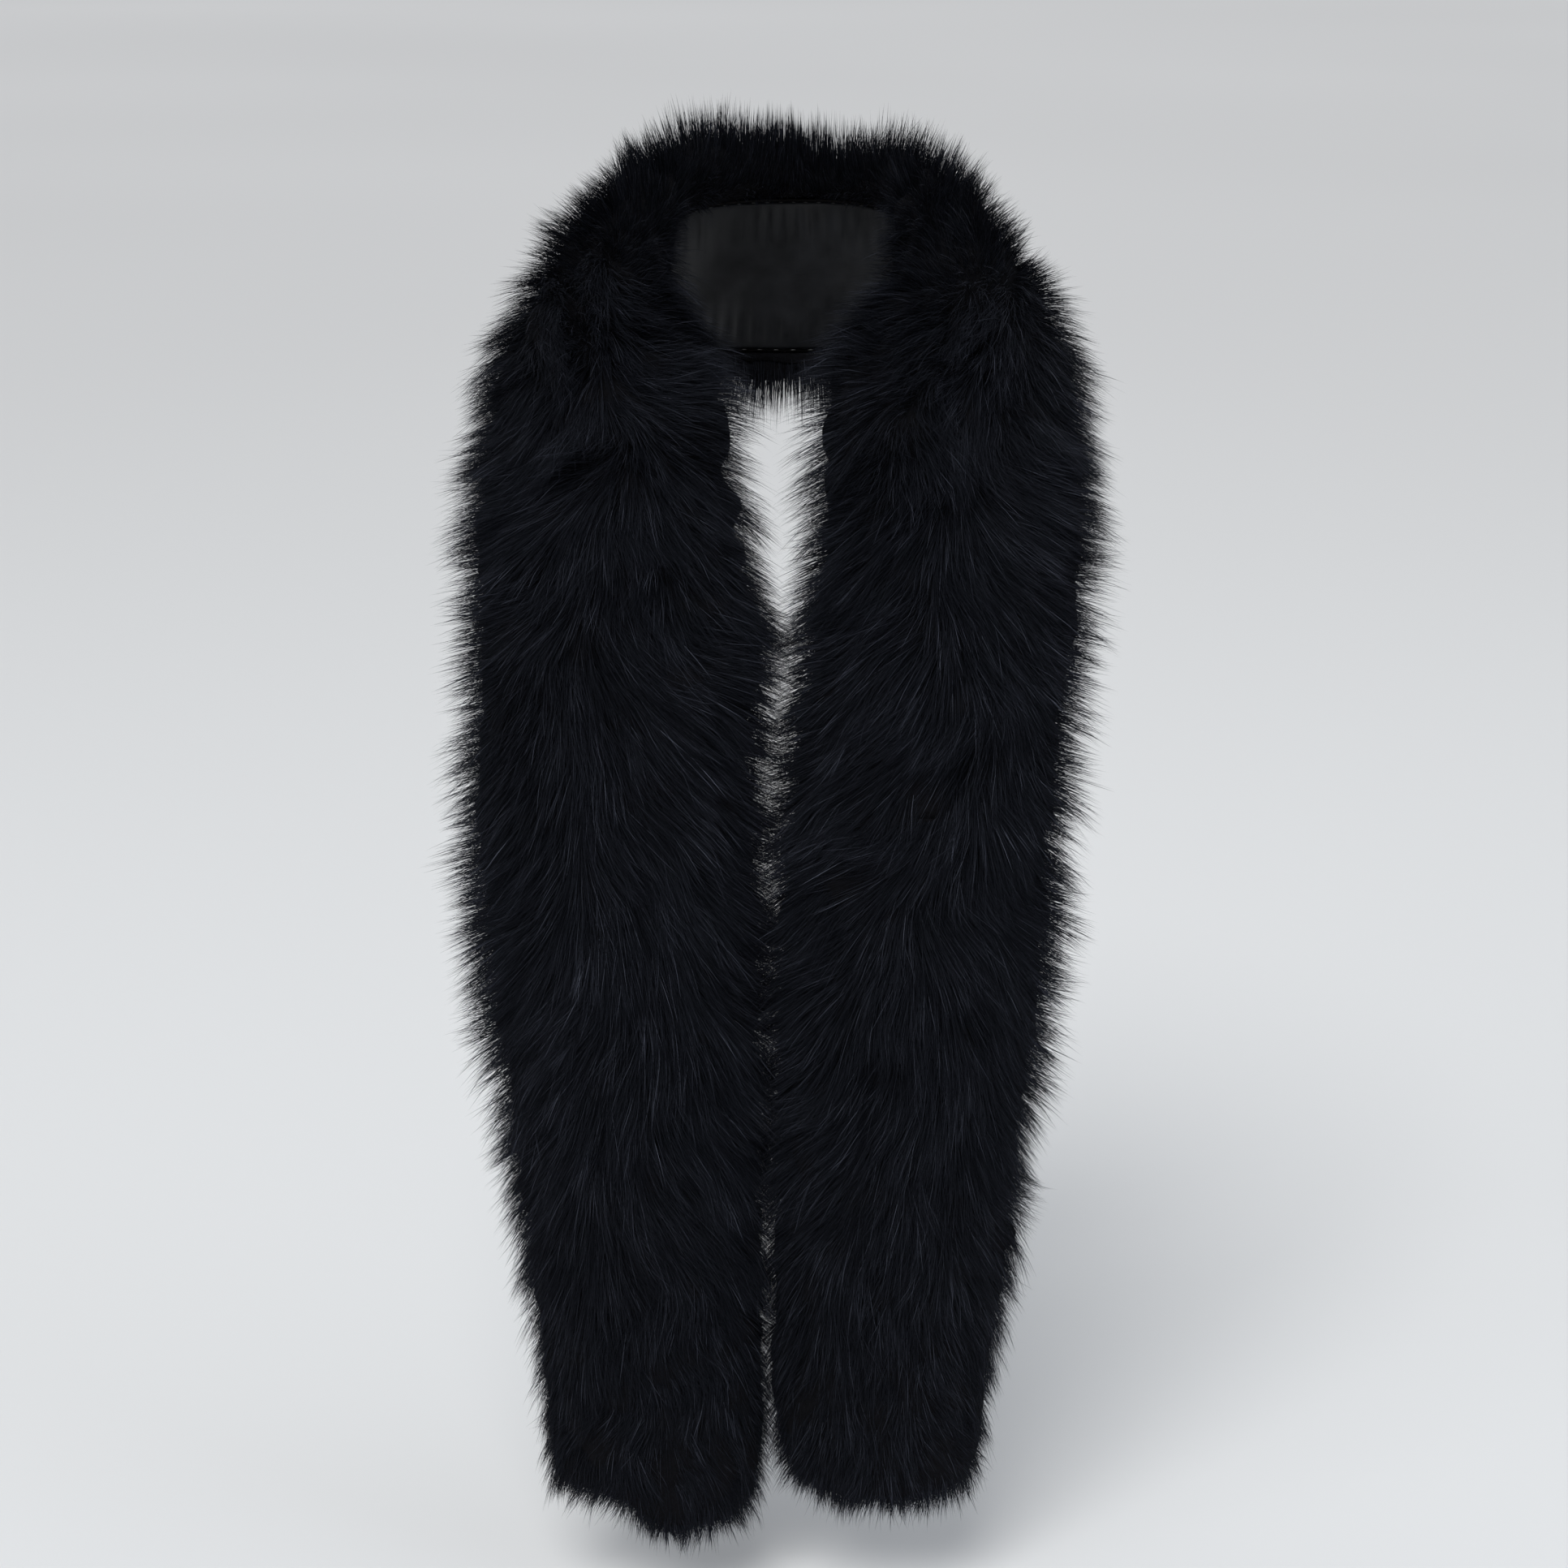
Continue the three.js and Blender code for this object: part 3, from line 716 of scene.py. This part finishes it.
def woolly(flat):
    around, layer, along = flat.T
    lift = underfur_height(along, around)
    lift = lift * (1 + WOOL_ROUGHNESS * waves(along, WOOL_RADIUS * around, WOOL_LENGTH, seed=21))
    x, y = over_skin(along, around, np.where(layer > 0.5, lift, LIE_GAP))
    hollow = np.clip(1 + to_end(along) / HOLLOW_STRETCH, 0, 1)
    y = np.where(layer > 0.5, y, y * hollow)
    return np.stack([x, y, along], axis=1)


def underfur_body(place, start, end):
    over = [(turn, OUTER) for turn in np.linspace(-WRAP, np.pi + WRAP, OUTER_POINTS)]
    under = [(turn, INNER) for turn in np.linspace(np.pi, 0, INNER_POINTS)]
    bm = pulled(over + under, stations(start, end, UNDERFUR_STEP), loop=True)
    body = finished(bm, f"underfur_{place}", underfur, woolly)
    bench = np.empty(len(body.data.loops) * 2, np.float32)
    body.data.uv_layers[BENCH_MAP].data.foreach_get("uv", bench)
    around, along = bench.reshape(-1, 2).T
    u = UNDERFUR_COLUMN + UNDERFUR_COLUMN_WIDTH * (around + WRAP) / (np.pi + 2 * WRAP)
    v = 0.01 + 0.98 * (along - start) / (end - start)
    baked = body.data.uv_layers.new(name=HAIR_MAP)
    baked.data.foreach_set("uv", np.stack([u, v], axis=1).astype(np.float32).ravel())
    return body


fur_sections = dict(sections)
fur_sections["left_end"] = (LEFT_END - UNDER_TIP * 0.98, sections["left_end"][1])
fur_sections["right_end"] = (sections["right_end"][0], RIGHT_END + UNDER_TIP * 0.98)

# %% [markdown]
# ## Fur: the guard hairs
# Blender's hair particles are drawn by the renderer only, and a part that is to be used elsewhere needs
# its fur as a mesh. So each hair is a thin tapering blade of five points, or seven for a guard hair. What
# makes blades look like fur is how they lie, and a real pelt gives the rules: hairs lean towards the tail,
# more on the flat front than on the edges, gravity pulls the long ones down, and neighbours cling together
# in pointed locks.
#
# More than four hundred thousand blades are far too many for one operator call each, so this is the one
# place where the vertices are worked out as arrays.

# %% Locks of hair
LOCK_TABLE = 4096
LOCK_STRIDES = (7919, 104729)  # two primes, which keep neighbouring locks far apart in the table
LOCK_SCATTER = 0.45  # how far a lock's middle strays from its cell's, as a share of the cell
LOCK_SIZE = 0.0036
TUFT_SIZE = 0.015


def nearest_lock(along, arc, size, seed):
    """The lock that each hair belongs to: the way to the lock's middle, and four numbers of its own."""
    rng = np.random.default_rng(seed)
    table = rng.uniform(-1, 1, (LOCK_TABLE, 6))
    cell = np.floor(np.stack([along, arc]) / size).astype(int)
    best = np.full(along.shape, np.inf)
    to_lock = np.zeros((2, *along.shape))
    traits = np.zeros((*along.shape, 4))
    for i in (-1, 0, 1):
        for j in (-1, 0, 1):
            at = cell + np.array([[i], [j]])
            row = table[(at[0] * LOCK_STRIDES[0] + at[1] * LOCK_STRIDES[1]) % LOCK_TABLE]
            away = (at + 0.5 + LOCK_SCATTER * row[:, :2].T) * size - np.stack([along, arc])
            far = (away**2).sum(0)
            nearer = far < best
            best = np.where(nearer, far, best)
            to_lock = np.where(nearer, away, to_lock)
            traits = np.where(nearer[:, None], row[:, 2:], traits)
    return to_lock, traits


# %% How the hairs lean
LEAN_PLACES = np.array([0, 0.15, 0.30, 0.45, 0.60, 0.76])  # metres from the nape
OUTER_LEAN = np.radians([10, 6, 10, 28, 50, 68])
INNER_LEAN = np.radians([8, 24, 34, 38, 52, 68])
FRONT_LEAN = np.radians([40, 58, 60, 62, 68, 76])
COMBED = np.radians([50, 44, 46, 40, 22, 8])  # how far the front hairs turn towards the nearer edge
MOST_LEAN, LEAST_LEAN = 86, -15  # degrees
END_FAN = 26  # degrees more, either way, past the skins' end
END_ZONE = 0.012


def past_end(along):
    return smooth_step(-to_end(along), -END_ZONE, UNDER_TIP)


def lean_at(along, around):
    edge = np.abs(np.cos(np.clip(around, 0, np.pi))) ** 1.5
    away = np.abs(along)
    outer = np.interp(away, LEAN_PLACES, OUTER_LEAN)
    inner = np.interp(away, LEAN_PLACES, INNER_LEAN)
    in_front = np.interp(away, LEAN_PLACES, FRONT_LEAN)
    at_edge = np.where(around < np.pi / 2, outer, inner)
    lean = in_front + (at_edge - in_front) * edge
    return lean + (math.radians(MOST_LEAN) - lean) * past_end(along)


def combed(along, around):
    """The parting runs down the middle of the front, and the hairs sweep away from it to both sides."""
    parting = np.pi / 2 + 0.45 * waves(along, 0.0, 0.16, seed=44)
    from_parting = 2 * smooth_step(around - parting, -1.1, 1.1) - 1
    return np.interp(np.abs(along), LEAN_PLACES, COMBED) * from_parting


def fullness(along, around):
    """The hairs are longest at the nape, along the neck's edge."""
    inner = np.clip(-np.cos(around), 0, 1) ** 0.7
    return 1 + 0.14 * inner * (1 - smooth_step(np.abs(along), 0.06, 0.20))


# %% The two coats of blades
# For each coat: steps in a blade, width, blades per metre, shortest and longest as shares of the pile, and
# how strongly the blades cling to their lock.
COATS = {
    "fine": (2, 0.00024, 214_000, 0.38, 1.02, 0.40),
    "guard": (3, 0.00031, 78_000, 0.84, 1.20, 0.66),
}
ROOT_DEPTH = 0.003
LONGEST = 0.036
END_FRINGE = 0.013  # how far hairs reach past the skins' end
DROOP = 0.10  # how far a hair's tip sinks, as a share of its length
LOCK_LEAN, TUFT_LEAN, OWN_LEAN, DRIFT_LEAN = np.radians([8, 6, 6, 9])
LOCK_TURN, TUFT_TURN, OWN_TURN, LONG_DRIFT, SHORT_DRIFT = np.radians([12, 11, 7, 17, 12])
LOCK_LENGTH, TUFT_LENGTH = 0.10, 0.09  # how much longer or shorter a lock's or a tuft's hairs are
CLINGING_SHARE = 0.85  # of the hairs; the others stand alone
# The pale hairs carry a painted sheen: their tone is lifted towards the blue-grey end of the hair colour,
# which stands in for highlights.
PALE_SHARE = 0.12  # of the hairs
PLAIN_TONE, PALER = 0.30, 0.45
AROUND_TABLE = np.linspace(-WRAP, np.pi + WRAP, 400)


def scatter(rng, start, end, per_metre):
    """Random roots: lengths along the boa, angles round it, and the distance round at each."""
    count = int(per_metre * (end - start))
    along = rng.uniform(start, end, count)
    middle = np.full(AROUND_TABLE.shape, (start + end) / 2)
    x, y = over_skin(middle, AROUND_TABLE, underfur_height(middle, AROUND_TABLE))
    arc = np.concatenate([[0], np.cumsum(np.hypot(np.diff(x), np.diff(y)))])
    around = np.interp(rng.uniform(0, arc[-1], count), arc, AROUND_TABLE)
    return along, around, np.interp(around, AROUND_TABLE, arc)


def unit(ways):
    return ways / np.maximum(np.linalg.norm(ways, axis=1, keepdims=True), 1e-9)


def hair_lines(rng, start, end, coat):
    """The points of each hair from root to tip, its broad side, and its tone."""
    steps, width, per_metre, shortest, longest, cling = COATS[coat]
    along, around, arc = scatter(rng, start, end, per_metre)
    to_lock, traits = nearest_lock(along, arc, LOCK_SIZE, seed=31)
    to_tuft, tuft_traits = nearest_lock(along, arc, TUFT_SIZE, seed=32)
    depth = underfur_height(along, around)
    x, y = over_skin(along, around, np.maximum(depth - ROOT_DEPTH, 0.0005))
    bench_root = np.stack([x, y, along], axis=1)
    root = hang(bench_root)
    _, across, up, tangent = frame_at(slanted(bench_root))
    cos, sin = np.cos(around)[:, None], np.sin(around)[:, None]
    out = across * cos + up * sin
    round_way = up * cos - across * sin
    tailward = tangent * np.tanh(along / 0.05)[:, None]

    wobble = rng.standard_normal((3, len(along)))
    lean = lean_at(along, around) + LOCK_LEAN * traits[:, 0] + TUFT_LEAN * tuft_traits[:, 0]
    lean += OWN_LEAN * wobble[0] + DRIFT_LEAN * waves(along, arc, 0.035, seed=43)
    fanned = past_end(along)
    lean += np.radians(END_FAN) * fanned * rng.uniform(-1, 1, len(along))
    lean = np.clip(lean, np.radians(LEAST_LEAN), np.radians(MOST_LEAN + END_FAN * fanned))
    turn = combed(along, around) + LOCK_TURN * traits[:, 1] + TUFT_TURN * tuft_traits[:, 1]
    drift = LONG_DRIFT * waves(along, arc, 0.07, seed=41)
    turn += drift + SHORT_DRIFT * waves(along, arc, 0.03, seed=42)
    turn += OWN_TURN * wobble[1]

    vary = rng.uniform(shortest, longest, len(along)) * fullness(along, around)
    vary *= 1 + LOCK_LENGTH * traits[:, 2] + TUFT_LENGTH * tuft_traits[:, 2]
    rise = pile(along, around) * vary + brushed(along, around) - depth
    rise = np.maximum(rise, 0.001) + ROOT_DEPTH
    length = np.minimum(rise / np.maximum(np.cos(lean), 0.48), LONGEST)
    reach = END_FRINGE * vary + 0.002 * traits[:, 2] + np.maximum(to_end(along), -UNDER_TIP)
    length = np.minimum(length, np.maximum(reach, 0.004) / np.maximum(np.sin(lean), 0.4))

    clings = rng.uniform(0.6, 1.1, len(along))
    hold = (cling * clings * (rng.random(len(along)) < CLINGING_SHARE))[:, None]
    lock_way = tangent * to_lock[0][:, None] + round_way * to_lock[1][:, None]
    tuft_way = tangent * to_tuft[0][:, None] + round_way * to_tuft[1][:, None]
    points = [root]
    spot = root
    for step in range(steps):
        share = (step + 0.5) / steps
        bent = np.clip(lean * (0.84 + 0.32 * share), -0.4, np.maximum(1.55, lean))[:, None]
        swept = turn[:, None] * (0.84 + 0.32 * share)
        aside = tailward * np.cos(swept) + round_way * np.sin(swept)
        spot = spot + (length / steps)[:, None] * (out * np.cos(bent) + aside * np.sin(bent))
        reached = (step + 1) / steps
        sunk = np.array([0, 0, -DROOP]) * length[:, None] * reached**2
        points.append(spot + sunk + hold * reached**1.3 * (lock_way * 0.9 + tuft_way * 0.16))
    points = np.stack(points, axis=1)

    direction = unit(points[:, -1] - points[:, 0])
    flat_side = unit(np.cross(direction, out))
    roll = rng.uniform(-1.1, 1.1, len(along))[:, None]
    broad = flat_side * np.cos(roll) + np.cross(direction, flat_side) * np.sin(roll)
    broad *= (width / 2 * rng.uniform(0.7, 1.2, len(along)))[:, None]
    pale = rng.random(len(along)) < PALE_SHARE
    # The tone differs at random by lock, tuft and hair; by tuft it also stands in for sheen on some tufts and
    # shade in the partings, and the pale hairs carry painted sheen.
    tone = PLAIN_TONE + 0.12 * traits[:, 3] + 0.12 * tuft_traits[:, 3] + 0.08 * wobble[2] + PALER * pale
    return points, broad, np.clip(tone, 0, 1)


# %% Turn the hairs into a mesh
HAIR_COLUMN = 0.0012  # half the width of a hair's place on its map


def blade_faces(steps):
    """The corners of one blade: a quad for each step but the last, which is the pointed tip."""
    quads = [(2 * i, 2 * i + 1, 2 * i + 3, 2 * i + 2) for i in range(steps - 1)]
    return [*quads, (2 * steps - 2, 2 * steps - 1, 2 * steps)]


def hair_mesh(name, points, broad, tone):
    count, steps = points.shape[0], points.shape[1] - 1
    rings = []
    for step in range(steps):
        taper = 1 - 0.6 * (step / steps) ** 1.5
        rings += [points[:, step] - broad * taper, points[:, step] + broad * taper]
    verts = np.stack([*rings, points[:, -1]], axis=1).reshape(-1, 3)
    faces = blade_faces(steps)
    corners = np.array([corner for face in faces for corner in face])
    loops = (np.arange(count)[:, None] * (2 * steps + 1) + corners).ravel()
    face_starts = np.cumsum([0, *[len(face) for face in faces[:-1]]])
    starts = (np.arange(count)[:, None] * len(corners) + face_starts).ravel()
    mesh = bpy.data.meshes.new(name)
    mesh.vertices.add(len(verts))
    mesh.vertices.foreach_set("co", verts.astype(np.float32).ravel())
    mesh.loops.add(len(loops))
    mesh.loops.foreach_set("vertex_index", loops.astype(np.int32))
    mesh.polygons.add(len(starts))
    mesh.polygons.foreach_set("loop_start", starts.astype(np.int32))
    mesh.polygons.foreach_set("use_smooth", np.ones(len(starts), bool))
    layer = mesh.uv_layers.new(name=HAIR_MAP)
    side = np.where(corners == 2 * steps, 0, 2 * (corners % 2) - 1) * HAIR_COLUMN
    u = 0.01 + 0.92 * tone[:, None] + side[None]
    v = np.broadcast_to(0.01 + 0.98 * (corners // 2) / steps, u.shape)
    layer.uv.foreach_set("vector", np.stack([u, v], axis=-1).astype(np.float32).ravel())
    mesh.update(calc_edges=True)
    mesh.materials.append(hair)
    return mesh


def shown(name, mesh):
    made = bpy.data.objects.new(name, mesh)
    bpy.context.scene.collection.objects.link(made)
    return made


def fur_piece(index, place, start, end):
    rng = np.random.default_rng(500 + index)
    coats = [shown(f"coat_{place}", hair_mesh(coat, *hair_lines(rng, start, end, coat))) for coat in COATS]
    whole = [*coats, underfur_body(place, start, end)]
    with bpy.context.temp_override(active_object=whole[0], selected_editable_objects=whole):
        bpy.ops.object.join()
    piece = whole[0]
    follow(piece, place)
    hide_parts(f"fur_{place}")
    return piece


triangles = 0
for index, (place, (start, end)) in enumerate(fur_sections.items()):
    piece = fur_piece(index, place, start, end)
    held = sum(len(p.vertices) - 2 for p in piece.data.polygons)
    triangles += held
    print(piece.name, held, "triangles")
print("fur:", triangles, "triangles")

# %% [markdown]
# ## Floor, light and camera
# A black subject shows only by what it reflects. A few large soft lights, off to the sides and above, put
# a broad sheen on the locks and leave the partings dark, and a pale floor that runs on to the horizon
# gives every stray hair a light ground to stand out against.

# %% Floor
FLOOR_DROP = 0.045
bm = bmesh.new()
bmesh.ops.create_circle(bm, cap_ends=True, segments=96, radius=40)
bmesh.ops.translate(bm, vec=(0, 0, frame_low.z - FLOOR_DROP), verts=bm.verts[:])
plaster, shader = new_material("pale_floor", Roughness=0.85, Specular_IOR_Level=0.2)
place = node(plaster, "TexCoord").outputs["Object"]
cloud = node(plaster, "TexNoise", Vector=place, Scale=0.25, Detail=1.0)
plaster_colour = ramp(plaster, cloud.outputs["Fac"], (0.3, (0.68, 0.68, 0.67)), (0.7, (0.71, 0.71, 0.70)))
link(plaster, plaster_colour, shader.inputs["Base Color"])
floor_mesh = bpy.data.meshes.new("floor")
bm.to_mesh(floor_mesh)
bm.free()
floor_mesh.materials.append(plaster)
floor = bpy.data.objects.new("floor", floor_mesh)
bpy.context.scene.collection.objects.link(floor)
floor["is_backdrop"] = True

# %% Lights
world = bpy.data.worlds.new("studio")
bpy.context.scene.world = world
world.use_nodes = True
background = world.node_tree.nodes["Background"]
background.inputs["Color"].default_value = (0.90, 0.93, 1.0, 1)
background.inputs["Strength"].default_value = 0.42


def softbox(name, at, target, size, power, colour=(1, 1, 1)):
    lamp = bpy.data.lights.new(name, "AREA")
    lamp.shape = "RECTANGLE"
    lamp.size, lamp.size_y = size
    lamp.energy = power
    lamp.color = colour
    made = bpy.data.objects.new(name, lamp)
    made.location = at
    made.rotation_mode = "QUATERNION"
    made.rotation_quaternion = (Vector(target) - Vector(at)).to_track_quat("-Z", "Y")
    bpy.context.scene.collection.objects.link(made)
    return made


middle = (frame_low + frame_high) / 2
softbox("key", (-1.6, -2.2, 2.2), middle, (1.8, 1.8), 20, (0.92, 0.96, 1.0))
softbox("fill", (2.4, -1.4, 1.0), middle, (1.6, 2.2), 14, (0.80, 0.88, 1.0))
softbox("top", (0.2, 0.9, 2.4), middle, (2.2, 1.6), 18, (0.92, 0.96, 1.0))
daylight = bpy.data.lights.new("daylight", "SUN")
daylight.energy = 1.9
daylight.angle = math.radians(30)
sky = bpy.data.objects.new("daylight", daylight)
sky.rotation_euler = (math.radians(38), math.radians(-12), 0)
bpy.context.scene.collection.objects.link(sky)

# %% Camera
CAMERA_PITCH = math.radians(16)
CAMERA_DISTANCE = 1.75
FIELD_OF_VIEW = math.radians(26.11)
lens = bpy.data.cameras.new("camera")
lens.sensor_width = 36.0
lens.angle = FIELD_OF_VIEW
lens.clip_start, lens.clip_end = 0.05, 200
lens.dof.use_dof = False
camera = bpy.data.objects.new("camera", lens)
target = Vector((-0.005, -0.060, -0.275))
back = Vector((0, -math.cos(CAMERA_PITCH), math.sin(CAMERA_PITCH)))
camera.location = target + back * CAMERA_DISTANCE
camera.rotation_euler = (math.pi / 2 - CAMERA_PITCH, 0, 0)
bpy.context.scene.collection.objects.link(camera)
bpy.context.scene.camera = camera
bpy.context.scene.view_settings.view_transform = "Standard"

# %% Compare the finished size with the frame's
shown_low, shown_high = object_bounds()
growth = (*(frame_low - shown_low), *(shown_high - frame_high))
print("grown by", [round(1000 * v, 1) for v in growth], "mm")
